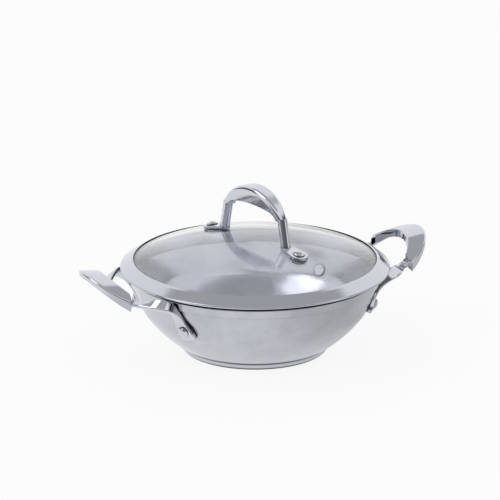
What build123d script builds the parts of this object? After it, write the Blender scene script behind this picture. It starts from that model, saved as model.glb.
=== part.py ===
"""A 24 cm stainless steel kadai with two riveted side handles and a domed glass lid.

Millimetres, +Z up.  The origin is the middle of the flat base, on the surface that the
kadai stands on.  +X runs out through one side handle, and the lid lifts off along +Z.
"""
from build123d import *
from math import asin, cos, degrees, radians, sin, sqrt
import os

os.makedirs("parts", exist_ok=True)

# Base: an aluminium disc under the bowl, held in a pressed steel cap
base_radius = 67.4
base_height = 5.6
base_edge_radius = 4.5
cap_thickness = 0.6
core_gap = 0.05

# Bowl: one spun sheet, from the flat bottom up to the polished band
wall = 1.2
bottom_radius = 67.6
foot_slope = 32.9
belly_slope = 53.9
wall_slope = 69.1
belly_radius = 124.0
shoulder_radius = 27.0
step_height = 65.3
step_width = 1.15
band_slope = 69.6
rim_height = 72.7
rim_fillet = 0.4

# Lid glass: a cap of a sphere
lid_radius = 122.5
glass_top = 106.0
glass_dome_radius = 297.0
glass_dome_drop = 30.0
glass_radius = 112.6
glass_thickness = 4.0
glass_gap = 0.1

# Lid rim: a rolled steel band that wraps the edge of the glass
band_thickness = 0.6
band_inner_radius = 110.6
band_bend_radius = 113.3
band_fall_share = 0.66
band_depth = 2.0
lip_radius = 112.3
lip_hold_gap = 0.3
lid_seat_gap = 0.3
band_fold_radius = 0.9

# Lid handle: a wide hollow arch on two round legs with riveted feet
lid_handle_bearing = -74.0
lid_handle_top = 153.5
lid_handle_width = 16.5
lid_handle_crown_radius = 46.0
lid_handle_depth = 15.8
lid_skirt_crown_radius = 120.0
lid_skirt_corner_radius = 10.0
lid_groove_low = 135.0
lid_leg_diameter = 9.0
lid_leg_spread_top = 37.4
lid_leg_spread_bottom = 42.5
lid_leg_top_height = 129.5
lid_grip_height = 149.0
lid_grip_blend_radius = 30.0
lid_spring_height = 128.5
lid_handle_skin = 2.4
lid_handle_edge_fillet = 3.4
lid_foot_thickness = 2.4
lid_foot_radius = 8.6
lid_foot_neck_radius = 5.0
lid_leg_high = 131.0
lid_rivet_spread = 59.5
lid_rivet_diameter = 5.0
lid_rivet_head_diameter = 10.4
lid_rivet_head_height = 2.8
lid_rivet_hole_gap = 0.1
gasket_thickness = 0.6
gasket_radius = 7.6
washer_thickness = 1.2
washer_radius = 7.0
lid_rivet_tail_height = 1.6
lid_rivet_tail_diameter = 8.4
layer_gap = 0.05

# Side handles: a hollow arched loop on two flat straps
loop_tip = 168.9
loop_half_width = 45.0
loop_centre = 118.0
opening_centre = 102.6
opening_radius = 46.5
loop_crest_height = 93.4
loop_crest_slope = 7.4
loop_arch_radius = 61.0
loop_skirt_height = 6.3
loop_skirt_slope = 15.0
loop_skin = 2.4
loop_end_x = 137.5
loop_end_y = 37.5
loop_edge_fillet = 1.6

# Straps: from the loop's ends down to pads that lie on the wall
strap_thickness = 4.2
strap_width = 9.5
pad_width = 15.0
pad_foot_bearing = 31.0
pad_foot_height = 38.0
pad_top_bearing = 27.6
pad_top_height = 58.0
bend_bearing = 27.0
bend_reach = 121.5
bend_height = 69.0
strap_end_x = 137.0
strap_end_y = 36.5
pad_seat_gap = 0.05
pad_bite = 0.6
strap_round_share = 0.3
bend_lean_share = 0.9
middle_lean_share = 0.75

# Side handle rivets
rivet_bearing = 29.6
rivet_height = 45.5
rivet_diameter = 5.0
rivet_head_diameter = 10.0
rivet_head_height = 3.0
rivet_inner_head_diameter = 11.0
rivet_inner_head_height = 2.0
rivet_hole_gap = 0.1
head_edge_share = 0.25
inner_round_share = 0.45

# How far a cutting tool runs past what it cuts
overrun = 5.0


def keep(piece, name):
    """Labels a finished piece and writes it to its own file."""
    piece.part.label = name
    export_step(piece.part, f"parts/{name}.step")


def on_circle(radius, bearing, height):
    """A point at a radius, a compass bearing from +X and a height."""
    return Vector(radius * cos(radians(bearing)), radius * sin(radians(bearing)), height)


# The outline of the bowl's outside, from the axis out to the rim
foot_corner = Vector(bottom_radius, base_height)


def arc_end(start, radius, slope_in, slope_out):
    """Where an arc ends that turns from one slope above level to a steeper one."""
    along = radius * (sin(radians(slope_out)) - sin(radians(slope_in)))
    up = radius * (cos(radians(slope_in)) - cos(radians(slope_out)))
    return Vector(start.X + along, start.Y + up)


def heading(slope):
    """A unit direction in the section, at a slope above level."""
    return Vector(cos(radians(slope)), sin(radians(slope)))


belly_end = arc_end(foot_corner, belly_radius, foot_slope, belly_slope)
shoulder_end = arc_end(belly_end, shoulder_radius, belly_slope, wall_slope)
wall_rise = (step_height - shoulder_end.Y) / sin(radians(wall_slope))
step_inner = shoulder_end + heading(wall_slope) * wall_rise
step_outer = step_inner + Vector(step_width, 0)
band_rise = (rim_height - step_outer.Y) / sin(radians(band_slope))
rim_edge = step_outer + heading(band_slope) * band_rise

with BuildSketch(Plane.XZ) as bowl_section:
    with BuildLine():
        Line((0, base_height), foot_corner)
        TangentArc(foot_corner, belly_end, tangent=heading(foot_slope))
        TangentArc(belly_end, shoulder_end, tangent=heading(belly_slope))
        Polyline(shoulder_end, step_inner, step_outer, rim_edge)
        offset(amount=wall, side=Side.LEFT, kind=Kind.INTERSECTION)
    make_face()

# The wall with a little air round it, to cut what lies against it
with BuildPart() as wall_envelope:
    with BuildSketch(Plane.XZ):
        add(bowl_section.sketch)
        offset(amount=pad_seat_gap, kind=Kind.INTERSECTION)
        Rectangle(loop_tip, loop_tip * 2, align=(Align.MIN, Align.CENTER), mode=Mode.INTERSECT)
    revolve(axis=Axis.Z)


# Where the outside of the wall is, and which way it faces, at a height
shoulder_centre = shoulder_end + Vector(-sin(radians(wall_slope)), cos(radians(wall_slope))) * shoulder_radius


def wall_point(bearing, height, stand_off=0.0):
    """A point on the outside of the wall, or standing off it, and the way that the wall faces."""
    if height > shoulder_end.Y:
        radius = shoulder_end.X + (height - shoulder_end.Y) / sin(radians(wall_slope)) * cos(radians(wall_slope))
        tilt = radians(90 - wall_slope)
    else:
        drop = shoulder_centre.Y - height
        radius = shoulder_centre.X + sqrt(shoulder_radius**2 - drop**2)
        tilt = asin(drop / shoulder_radius)
    facing = Vector(cos(tilt) * cos(radians(bearing)), cos(tilt) * sin(radians(bearing)), -sin(tilt))
    return on_circle(radius, bearing, height) + facing * stand_off, facing


def rivet_seat(bearing):
    """The plane of a side handle rivet, on the outside of the wall, facing out."""
    origin, facing = wall_point(bearing, rivet_height)
    return Plane(origin=origin, x_dir=(-sin(radians(bearing)), cos(radians(bearing)), 0), z_dir=facing)


side_rivets = {
    "right_front": -rivet_bearing,
    "right_rear": rivet_bearing,
    "left_front": rivet_bearing - 180,
    "left_rear": 180 - rivet_bearing,
}

with BuildPart() as bowl_shell:
    add(bowl_section.sketch)
    revolve(axis=Axis.Z)
    fillet(bowl_shell.edges().group_by(Axis.Z)[-1], radius=rim_fillet)
    fillet(bowl_shell.edges().filter_by(lambda edge: abs(edge.center().Z - rim_height) < wall / 4), radius=rim_fillet)
    for bearing in side_rivets.values():
        with Locations(rivet_seat(bearing)):
            Cylinder(rivet_diameter / 2 + rivet_hole_gap, overrun * 2, mode=Mode.SUBTRACT)
keep(bowl_shell, "bowl_shell")

# The cap is pressed up round the edge of the core
flat_radius = base_radius - base_edge_radius
with BuildPart() as base_cap:
    with BuildSketch(Plane.XZ):
        with BuildLine():
            Line((0, 0), (flat_radius, 0))
            TangentArc((flat_radius, 0), (base_radius, base_edge_radius), tangent=(1, 0))
            Line((base_radius, base_edge_radius), (base_radius, base_height))
            offset(amount=cap_thickness, side=Side.LEFT, kind=Kind.INTERSECTION)
        make_face()
    revolve(axis=Axis.Z)
keep(base_cap, "base_cap")

core_inset = cap_thickness + core_gap
with BuildPart() as base_core:
    with BuildSketch(Plane.XZ):
        with BuildLine():
            Line((0, core_inset), (flat_radius, core_inset))
            TangentArc((flat_radius, core_inset), (base_radius - core_inset, base_edge_radius), tangent=(1, 0))
            Polyline(
                (base_radius - core_inset, base_edge_radius),
                (base_radius - core_inset, base_height),
                (0, base_height),
                (0, core_inset),
            )
        make_face()
    revolve(axis=Axis.Z)
keep(base_core, "base_core")

# Lid glass
dome_centre = glass_top - glass_dome_radius


def dome_height(radius, above=0.0):
    """The height of the dome at a radius, or of a sphere a little above or below it."""
    return dome_centre + sqrt((glass_dome_radius + above) ** 2 - radius**2)


dome_middle = Location((0, 0, dome_centre))
lid_rivet_tilt = degrees(asin(lid_rivet_spread / glass_dome_radius))
lid_u = Vector(cos(radians(lid_handle_bearing)), sin(radians(lid_handle_bearing)), 0)
lid_n = Vector(-lid_u.Y, lid_u.X, 0)


def dome_seat(side):
    """The plane on the dome's top face at one lid handle rivet, facing out."""
    lean = radians(lid_rivet_tilt)
    facing = lid_u * (side * sin(lean)) + Vector(0, 0, cos(lean))
    return Plane(origin=Vector(0, 0, dome_centre) + facing * glass_dome_radius, x_dir=lid_n, z_dir=facing)


with BuildPart() as lid_glass:
    with BuildSketch(Plane.XZ):
        with BuildLine():
            glass_low = dome_height(glass_radius, -glass_thickness)
            TangentArc((0, glass_top), (glass_radius, dome_height(glass_radius)), tangent=(1, 0))
            Line((glass_radius, dome_height(glass_radius)), (glass_radius, glass_low))
            TangentArc((0, glass_top - glass_thickness), (glass_radius, glass_low), tangent=(1, 0))
            Line((0, glass_top), (0, glass_top - glass_thickness))
        make_face()
    revolve(axis=Axis.Z)
    for side in (-1, 1):
        with Locations(dome_seat(side)):
            Cylinder(lid_rivet_diameter / 2 + lid_rivet_hole_gap, overrun * 2, mode=Mode.SUBTRACT)
keep(lid_glass, "lid_glass")

# Lid rim
ledge_height = step_height + wall
band_rise_above = glass_gap + band_thickness
band_edge_height = dome_height(band_bend_radius, band_rise_above) - (lid_radius - band_bend_radius) * band_fall_share
lip_fold_height = dome_height(glass_radius, -glass_thickness) - band_thickness - lip_hold_gap
with BuildPart() as lid_rim:
    with BuildSketch(Plane.XZ):
        with BuildLine():
            FilletPolyline(
                (band_inner_radius, dome_height(band_inner_radius, band_rise_above)),
                (band_bend_radius, dome_height(band_bend_radius, band_rise_above)),
                (lid_radius, band_edge_height),
                (lid_radius, band_edge_height - band_depth),
                (lip_radius, lip_fold_height),
                (lip_radius, ledge_height + lid_seat_gap),
                radius=band_fold_radius,
            )
            offset(amount=band_thickness, side=Side.RIGHT)
        make_face()
    revolve(axis=Axis.Z)
keep(lid_rim, "lid_rim")

# A domed rivet head, standing on its seat
def domed_head(diameter, height):
    """A rivet head with a short upright edge under a dome."""
    edge = height * head_edge_share
    with BuildPart() as head:
        with BuildSketch(Plane.XZ):
            with BuildLine():
                Polyline((0, height), (0, 0), (diameter / 2, 0), (diameter / 2, edge))
                TangentArc((0, height), (diameter / 2, edge), tangent=(1, 0))
            make_face()
        revolve(axis=Axis.Z)
    return head.part


# Side handle: the loop
loop_length = loop_tip - loop_centre


def crest_point(x, slope=loop_crest_slope):
    """A point on the top line of the loop, or on a steeper line from the same tip."""
    return Vector(x, 0, loop_crest_height - (loop_tip - x) * sin(radians(slope)) / cos(radians(slope)))


def loop_top(x, y):
    """The height of the loop's top face."""
    return crest_point(x).Z - loop_arch_radius + sqrt(loop_arch_radius**2 - y**2)


def arch(radius, drop, slope=loop_crest_slope):
    """A long round bar under the crest, whose top is the loop's top face or lies below it."""
    middle = crest_point(loop_centre, slope) - Vector(0, 0, loop_arch_radius + drop)
    along = Vector(cos(radians(slope)), 0, sin(radians(slope)))
    with BuildPart() as bar:
        with Locations(Plane(origin=middle, x_dir=(0, 1, 0), z_dir=along)):
            Cylinder(radius, loop_tip * 2)
    return bar.part


bend_point = on_circle(bend_reach, bend_bearing, bend_height)
strap_end = Vector(strap_end_x, strap_end_y, loop_top(strap_end_x, strap_end_y) - strap_thickness)
strap_run = Vector(bend_point.X - strap_end_x, bend_point.Y - strap_end_y, 0).normalized()
strap_side = Vector(strap_run.Y, -strap_run.X, 0)


def loop_plan(inset):
    """The loop seen from above, an ellipse less the finger opening and cut off at its ends, or its inside."""
    end = Vector(loop_end_x, loop_end_y, 0) - strap_run * inset
    reach = end + strap_side * loop_length
    with BuildSketch() as plan:
        with Locations((loop_centre, 0)):
            Ellipse(loop_length - inset, loop_half_width - inset)
        with Locations((opening_centre, 0)):
            Circle(opening_radius + inset, mode=Mode.SUBTRACT)
        with BuildLine():
            Polyline(
                end,
                reach,
                (loop_tip + loop_length, reach.Y),
                (loop_tip + loop_length, -reach.Y),
                (reach.X, -reach.Y),
                (end.X, -end.Y),
                end,
            )
        make_face(mode=Mode.INTERSECT)
    return plan.sketch


outer_plan = loop_plan(0)
inner_plan = loop_plan(loop_skin)
with BuildPart() as loop:
    with BuildSketch():
        add(outer_plan)
    extrude(amount=loop_tip)
    add(arch(loop_arch_radius, 0), mode=Mode.INTERSECT)
    add(arch(loop_arch_radius, loop_skirt_height, loop_skirt_slope), mode=Mode.SUBTRACT)
    top_face = loop.faces().sort_by(Axis.Z)[-1]
    fillet(top_face.edges().sort_by(SortBy.LENGTH)[-2:], radius=loop_edge_fillet)

# The hollow underside of the loop
with BuildPart() as loop_hollow:
    with BuildSketch():
        add(inner_plan)
    extrude(amount=loop_tip)
    add(arch(loop_arch_radius - loop_skin, 0), mode=Mode.INTERSECT)


# A strap runs from the end of the loop over a bend and down the wall, where it widens to a pad
def wall_station(bearing, height):
    """The middle of the strap on the wall, sunk in by the bite that the wall cuts off again."""
    return wall_point(bearing, height, (strap_thickness - pad_bite) / 2)


def rivet_share(low, high):
    """The value at the rivet's height, between one at the pad's foot and one at its top."""
    return low + (high - low) * (rivet_height - pad_foot_height) / (pad_top_height - pad_foot_height)


foot_middle, foot_facing = wall_station(pad_foot_bearing, pad_foot_height)
seat_middle, seat_facing = wall_station(rivet_share(pad_foot_bearing, pad_top_bearing), rivet_height)
top_middle, top_facing = wall_station(pad_top_bearing, pad_top_height)
loop_lean = Vector(0, sin(asin(strap_end_y / loop_arch_radius)), cos(asin(strap_end_y / loop_arch_radius)))
bend_out = on_circle(bend_reach, bend_bearing, 0).normalized()
bend_facing = (bend_out + Vector(0, 0, bend_lean_share)).normalized()
middle_facing = (bend_facing * (1 - middle_lean_share) + loop_lean * middle_lean_share).normalized()
strap_places = [
    (foot_middle, foot_facing, pad_width, strap_thickness + pad_bite),
    (seat_middle, seat_facing, pad_width, strap_thickness + pad_bite),
    (top_middle, top_facing, strap_width, strap_thickness + pad_bite),
    (bend_point, bend_facing, strap_width, strap_thickness),
    ((bend_point + strap_end) / 2, middle_facing, strap_width, strap_thickness),
    (strap_end, loop_lean, strap_width, strap_thickness),
]
with BuildPart() as strap:
    for number, (middle, facing, width, thickness) in enumerate(strap_places):
        before = strap_places[max(number - 1, 0)][0]
        after = strap_places[min(number + 1, len(strap_places) - 1)][0]
        course = (after - before).normalized()
        with BuildSketch(Plane(origin=middle, x_dir=course.cross(facing), z_dir=course)):
            RectangleRounded(width, thickness, thickness * strap_round_share)
    loft()

with BuildPart() as handle_right:
    add(loop.part)
    add(loop_hollow.part, mode=Mode.SUBTRACT)
    add(strap.part)
    add(mirror(strap.part, about=Plane.XZ, mode=Mode.PRIVATE))
    add(wall_envelope.part, mode=Mode.SUBTRACT)
    for bearing in (-rivet_bearing, rivet_bearing):
        with Locations(rivet_seat(bearing)):
            Cylinder(rivet_diameter / 2 + rivet_hole_gap, overrun * 2, mode=Mode.SUBTRACT)
            with Locations((0, 0, strap_thickness)):
                Cylinder(
                    rivet_head_diameter / 2 + rivet_hole_gap,
                    strap_thickness,
                    align=(Align.CENTER, Align.CENTER, Align.MIN),
                    mode=Mode.SUBTRACT,
                )
keep(handle_right, "handle_right")

with BuildPart() as handle_left:
    add(handle_right.part.rotate(Axis.Z, 180))
keep(handle_left, "handle_left")

# Side handle rivets: a domed head on the pad and a flat one inside the bowl
with BuildPart() as inner_head:
    Cylinder(rivet_inner_head_diameter / 2, rivet_inner_head_height, align=(Align.CENTER, Align.CENTER, Align.MIN))
    fillet(inner_head.edges().group_by(Axis.Z)[0], radius=rivet_inner_head_height * inner_round_share)
with BuildPart() as outer_head:
    add(domed_head(rivet_head_diameter, rivet_head_height))
with BuildPart() as lid_head:
    add(domed_head(lid_rivet_head_diameter, lid_rivet_head_height))
for place, bearing in side_rivets.items():
    seat = rivet_seat(bearing)
    with BuildPart() as side_rivet:
        with Locations(seat):
            with Locations((0, 0, -wall - rivet_inner_head_height)):
                add(inner_head.part)
        add(wall_envelope.part, mode=Mode.SUBTRACT)
        with Locations(seat):
            with Locations((0, 0, -wall - rivet_inner_head_height / 2)):
                Cylinder(
                    rivet_diameter / 2,
                    strap_thickness + wall + rivet_inner_head_height / 2,
                    align=(Align.CENTER, Align.CENTER, Align.MIN),
                )
            with Locations((0, 0, strap_thickness)):
                add(outer_head.part)
    keep(side_rivet, f"{place}_rivet")

# The layers on and under the lid glass, as distances above its top face
gasket_low = layer_gap
foot_low = gasket_low + gasket_thickness + layer_gap
foot_high = foot_low + lid_foot_thickness
lower_gasket_high = -glass_thickness - layer_gap
washer_high = lower_gasket_high - gasket_thickness - layer_gap
tail_high = washer_high - washer_thickness - layer_gap

# Lid handle: a side outline and an end outline, each extruded, and what both hold
lid_side = Plane(origin=(0, 0, 0), x_dir=lid_u, z_dir=-lid_n)
lid_end = Plane(origin=(0, 0, 0), x_dir=lid_n, z_dir=lid_u)
lid_plan = Plane(origin=(0, 0, 0), x_dir=lid_u, z_dir=(0, 0, 1))
leg_radius = lid_leg_diameter / 2
leg_foot_height = dome_height(lid_leg_spread_bottom, foot_low)
leg_lean = (lid_leg_spread_bottom - lid_leg_spread_top) / (lid_leg_top_height - leg_foot_height)


def crown_outline(inset, low):
    """The round outside of the arch seen from its side, above a height."""
    with BuildSketch(Plane.XY) as outline:
        with Locations((0, lid_handle_top - lid_handle_crown_radius)):
            Circle(lid_handle_crown_radius - inset)
        with Locations((0, low)):
            Rectangle(
                lid_handle_crown_radius * 2,
                lid_handle_crown_radius,
                align=(Align.CENTER, Align.MIN),
                mode=Mode.INTERSECT,
            )
    return outline.sketch


def grip_outline(inset):
    """The end outline of the arch: narrow at the legs and wide at the grip."""
    half = lid_handle_width / 2 - inset
    neck = leg_radius - inset
    high = lid_handle_top + overrun
    with BuildSketch(Plane.XY) as outline:
        with BuildLine():
            Polyline(
                (neck, lid_spring_height),
                (half, lid_grip_height),
                (half, high),
                (-half, high),
                (-half, lid_grip_height),
                (-neck, lid_spring_height),
                (neck, lid_spring_height),
            )
        make_face()
        fillet(outline.vertices().group_by(Axis.Y)[1], radius=lid_grip_blend_radius)
    return outline.sketch


# The open side of the arch: a flat crown between the insides of the legs
with BuildSketch(Plane.XY) as inner_arch:
    low = lid_spring_height - lid_skirt_corner_radius
    low_x = lid_leg_spread_top - leg_radius + (lid_leg_top_height - low) * leg_lean
    high_x = low_x - (lid_handle_top - low) * leg_lean
    with BuildLine():
        Polyline((-low_x, low), (-high_x, lid_handle_top), (high_x, lid_handle_top), (low_x, low), (-low_x, low))
    make_face()
    with Locations((0, lid_handle_top - lid_handle_depth - lid_skirt_crown_radius)):
        Circle(lid_skirt_crown_radius, mode=Mode.INTERSECT)
    fillet(inner_arch.vertices().group_by(Axis.Y)[1:], radius=lid_skirt_corner_radius)
outer_arch = crown_outline(0, lid_spring_height)
groove_arch = crown_outline(lid_handle_skin, lid_groove_low)
outer_grip = grip_outline(0)
inner_grip = grip_outline(lid_handle_skin)

with BuildPart() as lid_groove:
    with BuildSketch(lid_side):
        add(groove_arch)
    extrude(amount=lid_handle_width, both=True)
    with BuildSketch(lid_end):
        add(inner_grip)
    extrude(amount=lid_rivet_spread, both=True, mode=Mode.INTERSECT)

# The feet lie on the dome, so they and the gaskets are slices between two spheres
def dome_slice(low, high, outline):
    """The part of an upright prism that lies between two spheres about the dome's centre."""
    with BuildPart() as piece:
        with BuildSketch(Plane.XY.offset(glass_top - glass_dome_drop)):
            add(outline)
        extrude(amount=glass_dome_drop + overrun)
        with Locations(dome_middle):
            Sphere(glass_dome_radius + high, mode=Mode.INTERSECT)
            Sphere(glass_dome_radius + low, mode=Mode.SUBTRACT)
    return piece.part


with BuildSketch(Plane.XY) as foot_outline:
    with Locations((lid_leg_spread_bottom, 0)):
        Circle(lid_foot_neck_radius)
    with Locations((lid_rivet_spread, 0)):
        Circle(lid_foot_radius)
    make_hull()

with BuildPart() as lid_handle:
    with BuildSketch(lid_side):
        add(outer_arch)
    extrude(amount=lid_handle_width, both=True)
    with BuildSketch(lid_end):
        add(outer_grip)
    extrude(amount=lid_rivet_spread, both=True, mode=Mode.INTERSECT)
    side_edges = lid_handle.edges().filter_by(lambda edge: abs(edge.center().dot(lid_n)) > leg_radius / 2)
    side_edges = side_edges.filter_by(lambda edge: edge.geom_type != GeomType.LINE)
    fillet(side_edges, radius=lid_handle_edge_fillet)
    with BuildSketch(lid_side):
        add(inner_arch.sketch)
    extrude(amount=lid_handle_width, both=True, mode=Mode.SUBTRACT)
    add(lid_groove.part, mode=Mode.SUBTRACT)
    for side in (-1, 1):
        leg_course = lid_u * (-side * leg_lean) + Vector(0, 0, 1)
        leg_start = lid_u * (side * lid_leg_spread_bottom) + Vector(0, 0, leg_foot_height)
        with Locations(Plane(origin=leg_start, x_dir=lid_n, z_dir=leg_course)):
            Cylinder(leg_radius, lid_leg_high - leg_foot_height, align=(Align.CENTER, Align.CENTER, Align.MIN))
        add(dome_slice(foot_low, foot_high, foot_outline.sketch.rotate(Axis.Z, lid_handle_bearing + 90 - side * 90)))
    with Locations(dome_middle):
        Sphere(glass_dome_radius + foot_low, mode=Mode.SUBTRACT)
    for side in (-1, 1):
        with Locations(dome_seat(side)):
            Cylinder(lid_rivet_diameter / 2 + lid_rivet_hole_gap, overrun * 2, mode=Mode.SUBTRACT)
keep(lid_handle, "lid_handle")

# Lid rivets: a domed head on the foot, a shank and a tail spread under the washer
with BuildPart() as lid_rivet_blank:
    with Locations((0, 0, tail_high)):
        Cylinder(
            lid_rivet_diameter / 2,
            foot_high - tail_high,
            align=(Align.CENTER, Align.CENTER, Align.MIN),
        )
        Cylinder(
            lid_rivet_tail_diameter / 2,
            lid_rivet_tail_height,
            align=(Align.CENTER, Align.CENTER, Align.MAX),
        )
    fillet(lid_rivet_blank.edges().group_by(Axis.Z)[0], radius=lid_rivet_tail_height * inner_round_share)
    with Locations((0, 0, foot_high)):
        add(lid_head.part)

for side, place in ((1, "front"), (-1, "rear")):
    seat = dome_seat(side)
    with BuildPart() as lid_rivet:
        with Locations(seat):
            add(lid_rivet_blank.part)
    keep(lid_rivet, f"lid_{place}_rivet")
    for name, radius, low, high in (
        ("upper_gasket", gasket_radius, gasket_low, gasket_low + gasket_thickness),
        ("lower_gasket", gasket_radius, lower_gasket_high - gasket_thickness, lower_gasket_high),
        ("washer", washer_radius, washer_high - washer_thickness, washer_high),
    ):
        with BuildPart() as ring:
            with Locations(seat):
                Cylinder(radius, lid_rivet_spread)
                Cylinder(lid_rivet_diameter / 2 + lid_rivet_hole_gap, lid_rivet_spread, mode=Mode.SUBTRACT)
            with Locations(dome_middle):
                Sphere(glass_dome_radius + high, mode=Mode.INTERSECT)
                Sphere(glass_dome_radius + low, mode=Mode.SUBTRACT)
        keep(ring, f"{place}_{name}")
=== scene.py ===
# %% [markdown]
# # A kadai with a glass lid, dressed in Blender
#
# A kadai is a deep round pan with sloping sides. This one is pressed from stainless steel, with two cast
# loop handles riveted to the wall and a domed glass lid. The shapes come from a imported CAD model, and this
# lesson gives each of them the surface that the real one has. Nearly everything here is bare metal, so most
# of the work is in two places: how smooth each piece is, and what there is around it to be mirrored.

# %% Load the frame
import math

import bpy
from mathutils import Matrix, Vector

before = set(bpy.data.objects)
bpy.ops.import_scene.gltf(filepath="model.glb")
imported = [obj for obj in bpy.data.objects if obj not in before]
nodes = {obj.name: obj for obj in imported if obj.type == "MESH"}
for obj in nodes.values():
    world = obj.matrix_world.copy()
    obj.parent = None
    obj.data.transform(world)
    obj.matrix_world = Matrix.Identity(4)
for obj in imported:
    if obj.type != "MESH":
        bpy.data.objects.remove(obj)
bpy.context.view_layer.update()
print("nodes:", ", ".join(sorted(nodes)))

MM = 0.001

# %% [markdown]
# ## Colours and a node helper
#
# A hex colour is read off a screen, where it is stored with a curve that suits the eye. Shaders add light
# up in plain numbers, so each colour is turned to linear once, by one function. A second function adds a
# node, sets its values and links its inputs, so that a material reads as a short list.

# %% Helpers for colour and nodes
WHITE = (1, 1, 1, 1)


def linear(hex_colour, alpha=1.0):
    channels = [int(hex_colour[i:i + 2], 16) / 255 for i in (1, 3, 5)]
    curve = [c / 12.92 if c <= 0.04045 else ((c + 0.055) / 1.055) ** 2.4 for c in channels]
    return (*curve, alpha)


def add_node(tree, kind, links=None, values=None, **settings):
    node = tree.nodes.new(kind)
    for name, value in settings.items():
        setattr(node, name, value)
    for name, value in (values or {}).items():
        node.inputs[name].default_value = value
    for name, source in (links or {}).items():
        tree.links.new(source, node.inputs[name])
    return node


def new_material(name):
    material = bpy.data.materials.new(name)
    material.use_nodes = True
    tree = material.node_tree
    tree.nodes.clear()
    output = add_node(tree, "ShaderNodeOutputMaterial")
    return material, tree, output


print("one linear grey:", tuple(round(c, 3) for c in linear("#C8C9CE")[:3]))

# %% [markdown]
# ## Marks that run round the axis
#
# The bowl, the lid band and the base are spun against a polishing wheel, so their finest scratches are
# rings round the middle. Noise that is fed with the distance from the axis and the height, and not with the
# angle, gives such rings on any turned shape. The real scratches are about 0.05 mm apart, too fine for the
# picture, so they are drawn 0.8 mm apart.

# %% Ring coordinates
RING_SPACING = 0.8 * MM


def ring_coordinates(tree):
    coordinates = add_node(tree, "ShaderNodeTexCoord")
    split = add_node(tree, "ShaderNodeSeparateXYZ", {"Vector": coordinates.outputs["Object"]})
    flat = add_node(tree, "ShaderNodeCombineXYZ", {"X": split.outputs["X"], "Y": split.outputs["Y"]})
    reach = add_node(tree, "ShaderNodeVectorMath", {0: flat.outputs[0]}, operation="LENGTH")
    rings = add_node(tree, "ShaderNodeCombineXYZ", {"X": reach.outputs["Value"], "Y": split.outputs["Z"]})
    return coordinates, split, flat.outputs[0], reach.outputs["Value"], rings.outputs[0]


print("ring spacing in mm:", RING_SPACING / MM)

# %% [markdown]
# ## Patches
#
# No wheel presses evenly, and no mould is clean all over, so each surface drifts a little between two
# values over patches a few centimetres wide. Blender's noise lies mostly between 0.3 and 0.7, and that
# stretch is spread over the two values.

# %% Patches between two values
PATCH_SIZE = 24 * MM
NOISE_LOW = 0.3
NOISE_HIGH = 0.7


def patches(tree, place, low, high, size=PATCH_SIZE, detail=3.0, roughness=0.6):
    cloud = add_node(tree, "ShaderNodeTexNoise", {"Vector": place},
                     {"Scale": 1 / size, "Detail": detail, "Roughness": roughness})
    drift = add_node(tree, "ShaderNodeMapRange", {"Value": cloud.outputs["Fac"]},
                     {"From Min": NOISE_LOW, "From Max": NOISE_HIGH, "To Min": low, "To Max": high})
    return drift.outputs["Result"]


print("patch size in mm:", PATCH_SIZE / MM)

# %% [markdown]
# ## Painted shade in narrow gaps
#
# Where two pieces nearly touch, such as the lid band over the rim of the bowl, the line between them
# is almost black, because light hardly gets in there. That shade is painted into the colour: the ambient
# occlusion node says how open a point is within 4 mm, and the steel is darkened where it is hemmed in.

# %% Share of open surroundings
GAP_REACH = 4.0 * MM
GAP_SAMPLES = 8
CLOSED_SHARE = 0.4
OPEN_SHARE = 0.92
PAINTED_GAP_SHADE_COLOUR = "#0E0F11"


# Painted shade: 1 where the steel keeps its own colour, falling towards 0 where gaps hem it in.
def share_free_of_painted_shade(tree):
    near = add_node(tree, "ShaderNodeAmbientOcclusion", values={"Distance": GAP_REACH}, samples=GAP_SAMPLES)
    clear = add_node(tree, "ShaderNodeMapRange", {"Value": near.outputs["AO"]},
                     {"From Min": CLOSED_SHARE, "From Max": OPEN_SHARE})
    return clear.outputs["Result"]


def multiplied(tree, shares):
    overlap = shares[0]
    for share in shares[1:]:
        overlap = add_node(tree, "ShaderNodeMath", {0: overlap, 1: share}, operation="MULTIPLY").outputs[0]
    return overlap


print("gaps are looked for within mm:", GAP_REACH / MM)

# %% [markdown]
# ## Satin stainless steel
#
# The bowl is stainless steel sheet, pressed in a tool and then brushed while it spins. Steel of this kind is
# a slightly cool grey. The brushing stretches each highlight across the scratches, which is what anisotropy
# does in the shader, with a tangent that runs round the Z axis. Patches of a duller grey and a drifting
# roughness show where the wheel pressed less. The straight band under the rim is polished brighter than the
# wall. The base cap meets the bowl in a narrow seam that lies in shade, and that shade is painted, on the
# outside only: there the bowl below the top of the seam is given the dark gap colour.

# %% Satin steel of the bowl
BAND_LOW = 64.8 * MM
BAND_BLEND = 0.5 * MM
SEAM_TOP = 8.4 * MM
FACES_OUT_BELOW = 0.2
SCRATCH_DEPTH = 0.01 * MM
SATIN_DRIFT_SHARE = 0.15
SATIN_SCRATCH_STRENGTH = 0.1
BRUSHED_STRETCH = 0.4


# Painted shade of the seam: 0 on the outside of the bowl below the top of the seam, 1 elsewhere.
def free_of_painted_seam_shade(tree, coordinates, split):
    facing = add_node(tree, "ShaderNodeSeparateXYZ", {"Vector": coordinates.outputs["Normal"]})
    outside = add_node(tree, "ShaderNodeMath", {0: facing.outputs["Z"]}, {1: FACES_OUT_BELOW},
                       operation="LESS_THAN")
    low = add_node(tree, "ShaderNodeMath", {0: split.outputs["Z"]}, {1: SEAM_TOP}, operation="LESS_THAN")
    seam = multiplied(tree, [outside.outputs[0], low.outputs[0]])
    return add_node(tree, "ShaderNodeMath", {1: seam}, {0: 1.0}, operation="SUBTRACT").outputs[0]


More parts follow.
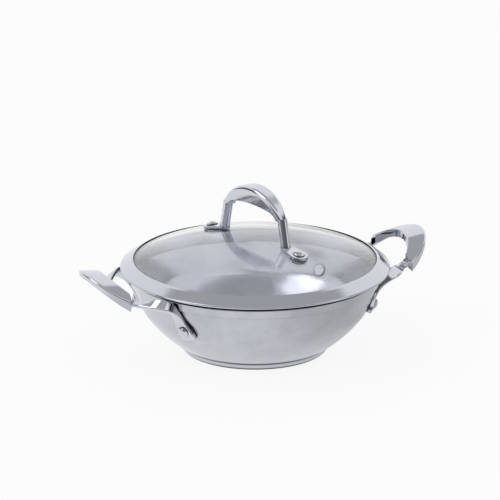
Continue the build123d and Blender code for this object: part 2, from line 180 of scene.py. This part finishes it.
def satin_steel(name, colour, dull_colour, rough, bright_rough):
    material, tree, output = new_material(name)
    coordinates, split, flat, reach, rings = ring_coordinates(tree)
    place = coordinates.outputs["Object"]
    grain = add_node(tree, "ShaderNodeTexNoise", {"Vector": rings},
                     {"Scale": 1 / RING_SPACING, "Detail": 3.0, "Roughness": 0.5})
    wall_rough = patches(tree, place, rough * (1 - SATIN_DRIFT_SHARE), rough * (1 + SATIN_DRIFT_SHARE))
    on_band = add_node(tree, "ShaderNodeMapRange", {"Value": split.outputs["Z"]},
                       {"From Min": BAND_LOW - BAND_BLEND / 2, "From Max": BAND_LOW + BAND_BLEND / 2})
    roughness = add_node(tree, "ShaderNodeMix", {"Factor": on_band.outputs["Result"], "A": wall_rough},
                         {"B": bright_rough})
    worn = add_node(tree, "ShaderNodeMix", {"Factor": patches(tree, place, 0.0, 1.0)},
                    {6: linear(dull_colour), 7: linear(colour)}, data_type="RGBA")
    # Both painted shades together: narrow gaps, and the seam at the base cap.
    clear = multiplied(tree, [share_free_of_painted_shade(tree), free_of_painted_seam_shade(tree, coordinates, split)])
    steel = add_node(tree, "ShaderNodeMix", {"Factor": clear, 7: worn.outputs[2]},
                     {6: linear(PAINTED_GAP_SHADE_COLOUR)}, data_type="RGBA")
    bump = add_node(tree, "ShaderNodeBump", {"Height": grain.outputs["Fac"]},
                    {"Strength": SATIN_SCRATCH_STRENGTH, "Distance": SCRATCH_DEPTH})
    tangent = add_node(tree, "ShaderNodeTangent", direction_type="RADIAL", axis="Z")
    shader = add_node(tree, "ShaderNodeBsdfPrincipled",
                      {"Base Color": steel.outputs[2], "Roughness": roughness.outputs["Result"],
                       "Normal": bump.outputs["Normal"], "Tangent": tangent.outputs["Tangent"]},
                      {"Metallic": 1.0, "Anisotropic": BRUSHED_STRETCH})
    tree.links.new(shader.outputs["BSDF"], output.inputs["Surface"])
    return material


bowl_steel = satin_steel("satin_stainless_spun", "#C6C8CF", "#B8BAC1", 0.18, 0.10)
print("bowl finish:", bowl_steel.name)

# %% [markdown]
# ## Edge of the lid band
#
# The band is rolled from thin sheet and folded over the edge of the glass. Its cut edge faces the axis and
# stands on the glass, and the narrow gap there lies in shade, which looks like a dark thread. That shade is
# painted into the colour: only the faces that look inwards, and only above the channel that holds the glass,
# are darkened.

# %% Painted shade on the band's inner edge
EDGE_FROM = 84.0 * MM
FACES_IN_BELOW = -0.3


# Painted shade: inward faces of the band above the glass channel get the dark gap colour.
def painted_edge_shade(tree, coordinates, split, flat, reach, steel):
    outward = add_node(tree, "ShaderNodeVectorMath", {0: flat, 1: coordinates.outputs["Normal"]},
                       operation="DOT_PRODUCT")
    share = add_node(tree, "ShaderNodeMath", {0: outward.outputs["Value"], 1: reach}, operation="DIVIDE")
    inward = add_node(tree, "ShaderNodeMath", {0: share.outputs[0]}, {1: FACES_IN_BELOW},
                      operation="LESS_THAN")
    high = add_node(tree, "ShaderNodeMath", {0: split.outputs["Z"]}, {1: EDGE_FROM},
                    operation="GREATER_THAN")
    edge = multiplied(tree, [inward.outputs[0], high.outputs[0]])
    return add_node(tree, "ShaderNodeMix", {"Factor": edge, 6: steel}, {7: linear(PAINTED_GAP_SHADE_COLOUR)},
                    data_type="RGBA").outputs[2]


print("the dark edge starts at mm:", EDGE_FROM / MM)

# %% [markdown]
# ## Polished stainless steel
#
# The loop handles and the lid handle are cast, ground and polished by hand on a soft wheel. That leaves a
# near mirror with faint waves a few millimetres wide, where the hand moved. A very small bump at that scale
# bends the reflections just enough. The lid band and the rivets are pressed from bright sheet and wire, and
# the washers and the core, which hardly show, are left as they come from the press.

# %% Polished steel of handles, band and rivets
WAVE_SIZE = 9 * MM
POLISH_DRIFT_SHARE = 0.2
POLISH_SCRATCH_STRENGTH = 0.12


def polished_steel(name, colour, rough, wave_depth, turned=False, painted_gap_shade_colour=PAINTED_GAP_SHADE_COLOUR):
    material, tree, output = new_material(name)
    coordinates, split, flat, reach, rings = ring_coordinates(tree)
    place = coordinates.outputs["Object"]
    grain = add_node(tree, "ShaderNodeTexNoise", {"Vector": rings if turned else place},
                     {"Scale": 1 / RING_SPACING, "Detail": 2.0, "Roughness": 0.5})
    waves = add_node(tree, "ShaderNodeTexNoise", {"Vector": place},
                     {"Scale": 1 / WAVE_SIZE, "Detail": 1.0, "Roughness": 0.5})
    roughness = patches(tree, place, rough * (1 - POLISH_DRIFT_SHARE), rough * (1 + POLISH_DRIFT_SHARE))
    wavy = add_node(tree, "ShaderNodeBump", {"Height": waves.outputs["Fac"]},
                    {"Strength": 1.0, "Distance": wave_depth})
    bump = add_node(tree, "ShaderNodeBump",
                    {"Height": grain.outputs["Fac"], "Normal": wavy.outputs["Normal"]},
                    {"Strength": POLISH_SCRATCH_STRENGTH, "Distance": SCRATCH_DEPTH})
    # Painted shade: the steel is given the dark gap colour in narrow gaps.
    steel = add_node(tree, "ShaderNodeMix", {"Factor": share_free_of_painted_shade(tree)},
                     {6: linear(painted_gap_shade_colour), 7: linear(colour)}, data_type="RGBA").outputs[2]
    # The rolled band also gets painted shade along its inner edge, where it meets the glass.
    if turned:
        steel = painted_edge_shade(tree, coordinates, split, flat, reach, steel)
    shader = add_node(tree, "ShaderNodeBsdfPrincipled",
                      {"Base Color": steel, "Roughness": roughness, "Normal": bump.outputs["Normal"]},
                      {"Metallic": 1.0})
    tree.links.new(shader.outputs["BSDF"], output.inputs["Surface"])
    return material


# The cast handles get a lighter painted gap shade than the other steel.
cast_steel = polished_steel("polished_stainless_cast", "#CFD1D9", 0.08, 0.02 * MM, painted_gap_shade_colour="#3A3B42")
band_steel = polished_steel("polished_stainless_rolled", "#CBCDD6", 0.12, 0.004 * MM, turned=True)
rivet_steel = polished_steel("polished_stainless_rivet", "#CDCED3", 0.16, 0.008 * MM)
washer_steel = polished_steel("plain_stainless_stamped", "#B7B8BC", 0.34, 0.004 * MM)
core_aluminium = polished_steel("pressed_aluminium", "#D9DADC", 0.4, 0.004 * MM)
print("polished finishes:", cast_steel.name, band_steel.name, rivet_steel.name)

# %% [markdown]
# ## Tempered glass
#
# The lid is soda-lime glass, 4 mm thick, bent to a dome in a mould and then hardened with cold air. It has
# an index of refraction of about 1.52. It looks clear in the middle and dark in the last millimetre before
# the band, where the folded steel stops the light from behind. Light that goes on to the bowl has to pass
# it, and a renderer finds such paths hard to follow, so the glass lets shadow rays through as the real one
# would.

# %% Glass of the lid
BAND_INNER_RADIUS = 110.6 * MM
DARK_EDGE_WIDTH = 1.0 * MM
DARK_EDGE_BLEND = 0.3 * MM
DARK_EDGE_FROM = BAND_INNER_RADIUS - DARK_EDGE_WIDTH
DARK_EDGE_COLOUR = "#26282B"
MOST_HAZE = 0.01
GLASS_IOR = 1.52


def tempered_glass(name, colour):
    material, tree, output = new_material(name)
    coordinates, split, flat, reach, rings = ring_coordinates(tree)
    haze = patches(tree, coordinates.outputs["Object"], 0.0, MOST_HAZE, detail=4.0)
    at_edge = add_node(tree, "ShaderNodeMapRange", {"Value": reach},
                       {"From Min": DARK_EDGE_FROM - DARK_EDGE_BLEND / 2,
                        "From Max": DARK_EDGE_FROM + DARK_EDGE_BLEND / 2})
    tint = add_node(tree, "ShaderNodeMix", {"Factor": at_edge.outputs["Result"]},
                    {6: linear(colour), 7: linear(DARK_EDGE_COLOUR)}, data_type="RGBA")
    shader = add_node(tree, "ShaderNodeBsdfPrincipled", {"Base Color": tint.outputs[2], "Roughness": haze},
                      {"IOR": GLASS_IOR, "Transmission Weight": 1.0})
    clear = add_node(tree, "ShaderNodeBsdfTransparent", values={"Color": linear(colour)})
    ray = add_node(tree, "ShaderNodeLightPath")
    mix = add_node(tree, "ShaderNodeMixShader",
                   {0: ray.outputs["Is Shadow Ray"], 1: shader.outputs["BSDF"], 2: clear.outputs["BSDF"]})
    tree.links.new(mix.outputs["Shader"], output.inputs["Surface"])
    return material


lid_glass = tempered_glass("tempered_glass_clear", "#FAFBFF")
print("glass:", lid_glass.name)

# %% [markdown]
# ## Silicone
#
# Soft washers of clear silicone sit between the steel feet and the glass, so that metal never presses on
# it. Moulded silicone is milky and dull, and it lets some light through.

# %% Silicone of the gaskets
SPECK_SIZE = 2 * MM
DULL_LOW = 0.45
DULL_HIGH = 0.6
SILICONE_IOR = 1.41
CLEAR_SHARE = 0.4


def moulded_silicone(name, colour):
    material, tree, output = new_material(name)
    place = add_node(tree, "ShaderNodeTexCoord").outputs["Object"]
    roughness = patches(tree, place, DULL_LOW, DULL_HIGH, size=SPECK_SIZE, detail=2.0, roughness=0.5)
    shader = add_node(tree, "ShaderNodeBsdfPrincipled", {"Roughness": roughness},
                      {"Base Color": linear(colour), "IOR": SILICONE_IOR, "Transmission Weight": CLEAR_SHARE})
    tree.links.new(shader.outputs["BSDF"], output.inputs["Surface"])
    return material


gasket_silicone = moulded_silicone("moulded_silicone_clear", "#DDE0DF")
print("silicone:", gasket_silicone.name)

# %% [markdown]
# ## Put each finish on its piece
#
# The CAD solids already have the right shapes, so each keeps its mesh and gets its finish by name. The
# small pieces of one kind share a word in their names, and that word picks their finish.

# %% Dress the nodes
finishes = {
    "bowl_shell": bowl_steel,
    "base_cap": band_steel,
    "base_core": core_aluminium,
    "handle_right": cast_steel,
    "handle_left": cast_steel,
    "lid_handle": cast_steel,
    "lid_rim": band_steel,
    "lid_glass": lid_glass,
}
small_piece_finishes = {
    "gasket": gasket_silicone,
    "washer": washer_steel,
    "rivet": rivet_steel,
}
for name, node in nodes.items():
    finish = finishes.get(name)
    for word, small_finish in small_piece_finishes.items():
        if word in name:
            finish = small_finish
    for slot in node.material_slots:
        slot.material = finish
    print(name, "->", finish.name)

# %% [markdown]
# ## Floor
#
# The pan stands on a plain white table. The camera sees it nearly white, and a share of its real shading
# stays in, so that the pan keeps a soft shadow under it. The metal mirrors the table too, and there the
# table ends: it falls off into the dark end of the room in front, and it is greyer to the right, away from
# the lamp. That draws the soft grey gradients on the wall of the bowl.

# %% Floor
TURN = math.radians(24.7)
FRONT = (-math.sin(TURN), -math.cos(TURN), 0.0)
RIGHT = (math.cos(TURN), -math.sin(TURN), 0.0)
FLOOR_RADIUS = 3.0
FLOOR_SIDES = 96
FRONT_FADE_FROM = 0.22
FRONT_FADE_TO = 0.5
RIGHT_FADE_TO = 0.12
RIGHT_BRIGHT = 0.68
DARK_END_BRIGHT = 0.15
SHADOW_SHARE = 0.10


def mirrored_table(tree, ray):
    place = add_node(tree, "ShaderNodeTexCoord").outputs["Object"]
    ahead = add_node(tree, "ShaderNodeVectorMath", {0: place}, {1: FRONT}, operation="DOT_PRODUCT")
    front_fade = add_node(tree, "ShaderNodeMapRange", {"Value": ahead.outputs["Value"]},
                          {"From Min": FRONT_FADE_FROM, "From Max": FRONT_FADE_TO,
                           "To Min": 1.0, "To Max": DARK_END_BRIGHT})
    aside = add_node(tree, "ShaderNodeVectorMath", {0: place}, {1: RIGHT}, operation="DOT_PRODUCT")
    right_fade = add_node(tree, "ShaderNodeMapRange", {"Value": aside.outputs["Value"]},
                          {"From Min": 0.0, "From Max": RIGHT_FADE_TO, "To Min": 1.0, "To Max": RIGHT_BRIGHT})
    both = multiplied(tree, [front_fade.outputs["Result"], right_fade.outputs["Result"]])
    return add_node(tree, "ShaderNodeMix", {"Factor": ray.outputs["Is Glossy Ray"], "B": both},
                    {"A": 1.0}).outputs["Result"]


def white_laminate(name):
    material, tree, output = new_material(name)
    paint = add_node(tree, "ShaderNodeBsdfDiffuse", values={"Color": linear("#F4F4F5")})
    ray = add_node(tree, "ShaderNodeLightPath")
    glow = add_node(tree, "ShaderNodeEmission", {"Strength": mirrored_table(tree, ray)}, {"Color": WHITE})
    seen = ray.outputs["Is Camera Ray"]
    for kind in ("Is Glossy Ray", "Is Transmission Ray"):
        seen = add_node(tree, "ShaderNodeMath", {0: seen, 1: ray.outputs[kind]},
                        operation="MAXIMUM").outputs[0]
    share = add_node(tree, "ShaderNodeMath", {0: seen}, {1: 1 - SHADOW_SHARE}, operation="MULTIPLY")
    mix = add_node(tree, "ShaderNodeMixShader",
                   {0: share.outputs[0], 1: paint.outputs["BSDF"], 2: glow.outputs["Emission"]})
    tree.links.new(mix.outputs["Shader"], output.inputs["Surface"])
    return material


def table_top():
    angles = [2 * math.pi * i / FLOOR_SIDES for i in range(FLOOR_SIDES)]
    ring = [(FLOOR_RADIUS * math.cos(angle), FLOOR_RADIUS * math.sin(angle), 0) for angle in angles]
    mesh = bpy.data.meshes.new("table_top")
    mesh.from_pydata(ring, [], [list(range(FLOOR_SIDES))])
    mesh.materials.append(white_laminate("white_table_laminate"))
    table = bpy.data.objects.new("table_top", mesh)
    bpy.context.scene.collection.objects.link(table)
    return table


floor = table_top()
print("floor radius in m:", FLOOR_RADIUS)

# %% [markdown]
# ## Walls and ceiling of the studio
#
# Bare metal shows the room more than itself. The room here is white round the sides up to about 50 degrees,
# and a mid grey ceiling lies above, as under a lowered lamp hood. The line between the two draws the crisp
# edges on the lid band and on the handles. In a world, the Generated coordinate is the way that a ray goes.

# %% Walls and ceiling
WALL_TOP = math.sin(math.radians(50))
WALL_TOP_BLEND = 0.04
WALL_BRIGHT = 1.0
CEILING_BRIGHT = 0.5


def walls_and_ceiling(tree, up):
    light = add_node(tree, "ShaderNodeMapRange", {"Value": up},
                     {"From Min": WALL_TOP - WALL_TOP_BLEND / 2, "From Max": WALL_TOP + WALL_TOP_BLEND / 2,
                      "To Min": WALL_BRIGHT, "To Max": CEILING_BRIGHT})
    return light.outputs["Result"]


print("ceiling starts at degrees:", round(math.degrees(math.asin(WALL_TOP))))

# %% [markdown]
# ## Dark end of the room
#
# The end of the room in front of the pan is dark low down, where the photographer stands. It greys the steep
# faces that look that way, such as the skirts of the handles.

# %% Dark end
DARK_END_FROM = 0.55
DARK_END_BLEND = 0.2
DARK_END_TOP = 0.42
DARK_END_TOP_BLEND = 0.1


def dark_end_share(tree, up, ahead):
    in_front = add_node(tree, "ShaderNodeMapRange", {"Value": ahead},
                        {"From Min": DARK_END_FROM - DARK_END_BLEND / 2,
                         "From Max": DARK_END_FROM + DARK_END_BLEND / 2})
    low = add_node(tree, "ShaderNodeMapRange", {"Value": up},
                   {"From Min": DARK_END_TOP - DARK_END_TOP_BLEND / 2,
                    "From Max": DARK_END_TOP + DARK_END_TOP_BLEND / 2, "To Min": 1.0, "To Max": 0.0})
    return multiplied(tree, [in_front.outputs["Result"], low.outputs["Result"]])


print("the dark end reaches up to degrees:", round(math.degrees(math.asin(DARK_END_TOP))))

# %% [markdown]
# ## Dark flags
#
# Two dark flags stand behind the pan, one at each side. A photographer puts them up to give bright metal its
# dark stripes, here on the legs of the lid handle and on the sides of the lid band.

# %% Flags
FLAG_FROM = 0.82
FLAG_BLEND = 0.06
FLAG_TOP = 0.75
FLAG_FRONT_LIMIT = 0.1
FLAG_BRIGHT = 0.12


def flag_share(tree, up, ahead, aside):
    sideways = add_node(tree, "ShaderNodeMath", {0: aside}, operation="ABSOLUTE")
    at_side = add_node(tree, "ShaderNodeMapRange", {"Value": sideways.outputs[0]},
                       {"From Min": FLAG_FROM - FLAG_BLEND / 2, "From Max": FLAG_FROM + FLAG_BLEND / 2})
    under = add_node(tree, "ShaderNodeMath", {0: up}, {1: FLAG_TOP}, operation="LESS_THAN")
    behind = add_node(tree, "ShaderNodeMath", {0: ahead}, {1: FLAG_FRONT_LIMIT}, operation="LESS_THAN")
    return multiplied(tree, [at_side.outputs["Result"], under.outputs[0], behind.outputs[0]])


print("brightness of the flags:", FLAG_BRIGHT)

# %% [markdown]
# ## The whole studio
#
# Seen through the lid, the flags and the dark end would be in the way inside the bowl, so rays that have
# passed the glass don't meet them. The camera itself sees white, also through the glass.

# %% Studio world
BEFORE_FIRST = 0.5


def mirrored_room(tree, ray):
    way = add_node(tree, "ShaderNodeTexCoord").outputs["Generated"]
    up = add_node(tree, "ShaderNodeSeparateXYZ", {"Vector": way}).outputs["Z"]
    ahead = add_node(tree, "ShaderNodeVectorMath", {0: way}, {1: FRONT}, operation="DOT_PRODUCT")
    aside = add_node(tree, "ShaderNodeVectorMath", {0: way}, {1: RIGHT}, operation="DOT_PRODUCT")
    open_air = add_node(tree, "ShaderNodeMath", {0: ray.outputs["Transmission Depth"]}, {1: BEFORE_FIRST},
                        operation="LESS_THAN").outputs[0]
    dark_end = multiplied(tree, [dark_end_share(tree, up, ahead.outputs["Value"]), open_air])
    flags = multiplied(tree, [flag_share(tree, up, ahead.outputs["Value"], aside.outputs["Value"]), open_air])
    room = add_node(tree, "ShaderNodeMix", {"Factor": dark_end, "A": walls_and_ceiling(tree, up)},
                    {"B": DARK_END_BRIGHT})
    return add_node(tree, "ShaderNodeMix", {"Factor": flags, "A": room.outputs["Result"]},
                    {"B": FLAG_BRIGHT}).outputs["Result"]


def seen_straight(tree, ray):
    no_mirror = add_node(tree, "ShaderNodeMath", {0: ray.outputs["Glossy Depth"]}, {1: BEFORE_FIRST},
                         operation="LESS_THAN")
    through = multiplied(tree, [ray.outputs["Is Transmission Ray"], no_mirror.outputs[0]])
    return add_node(tree, "ShaderNodeMath", {0: ray.outputs["Is Camera Ray"], 1: through},
                    operation="MAXIMUM").outputs[0]


def studio_world(name):
    world = bpy.data.worlds.new(name)
    world.use_nodes = True
    tree = world.node_tree
    tree.nodes.clear()
    ray = add_node(tree, "ShaderNodeLightPath")
    level = add_node(tree, "ShaderNodeMix", {"Factor": seen_straight(tree, ray), "A": mirrored_room(tree, ray)},
                     {"B": 1.0})
    sky = add_node(tree, "ShaderNodeBackground", {"Strength": level.outputs["Result"]}, {"Color": WHITE})
    add_node(tree, "ShaderNodeOutputWorld", {"Surface": sky.outputs["Background"]})
    return world


bpy.context.scene.world = studio_world("studio")
print("world:", bpy.context.scene.world.name)

# %% [markdown]
# ## Lamp
#
# One large softbox hangs high on the left. It is weak, because the white room gives most of the light, and
# it adds the broad highlights and a faint direction to the shadow.

# %% Key lamp
LAMP_PLACE = (-1.1, 0.2, 1.5)
LAMP_TARGET = (0, 0, 0.06)
LAMP_SIDE = 0.9
LAMP_POWER = 4.0


def soft_lamp(name):
    data = bpy.data.lights.new(name, "AREA")
    data.shape = "RECTANGLE"
    data.size = LAMP_SIDE
    data.size_y = LAMP_SIDE
    data.energy = LAMP_POWER
    lamp = bpy.data.objects.new(name, data)
    lamp.location = LAMP_PLACE
    lamp.rotation_euler = (Vector(LAMP_TARGET) - Vector(LAMP_PLACE)).to_track_quat("-Z", "Y").to_euler()
    bpy.context.scene.collection.objects.link(lamp)
    return lamp


print("lamp:", soft_lamp("key_softbox").name)

# %% [markdown]
# ## Camera
#
# The photograph is taken from a little above the rim with a long lens. The handles don't lie across the
# picture but turned by about 25 degrees, so the camera walks round the pan by that angle.

# %% Camera
DISTANCE = 3.2
ELEVATION = math.radians(17.70)
LENS = 254.2
SENSOR_WIDTH = 36
SHIFT_RIGHT = -4.556 * MM
TARGET_HEIGHT = 92.47 * MM

target = Vector(RIGHT) * SHIFT_RIGHT + Vector((0, 0, TARGET_HEIGHT))
back = Vector(FRONT) * math.cos(ELEVATION) + Vector((0, 0, math.sin(ELEVATION)))
camera_data = bpy.data.cameras.new("photo_camera")
camera_data.sensor_width = SENSOR_WIDTH
camera_data.lens = LENS
camera = bpy.data.objects.new("photo_camera", camera_data)
camera.location = target + back * DISTANCE
camera.rotation_euler = (-back).to_track_quat("-Z", "Y").to_euler()
bpy.context.scene.collection.objects.link(camera)
bpy.context.scene.camera = camera
bpy.context.scene.view_settings.view_transform = "Standard"
print("camera at", [round(c, 3) for c in camera.location])
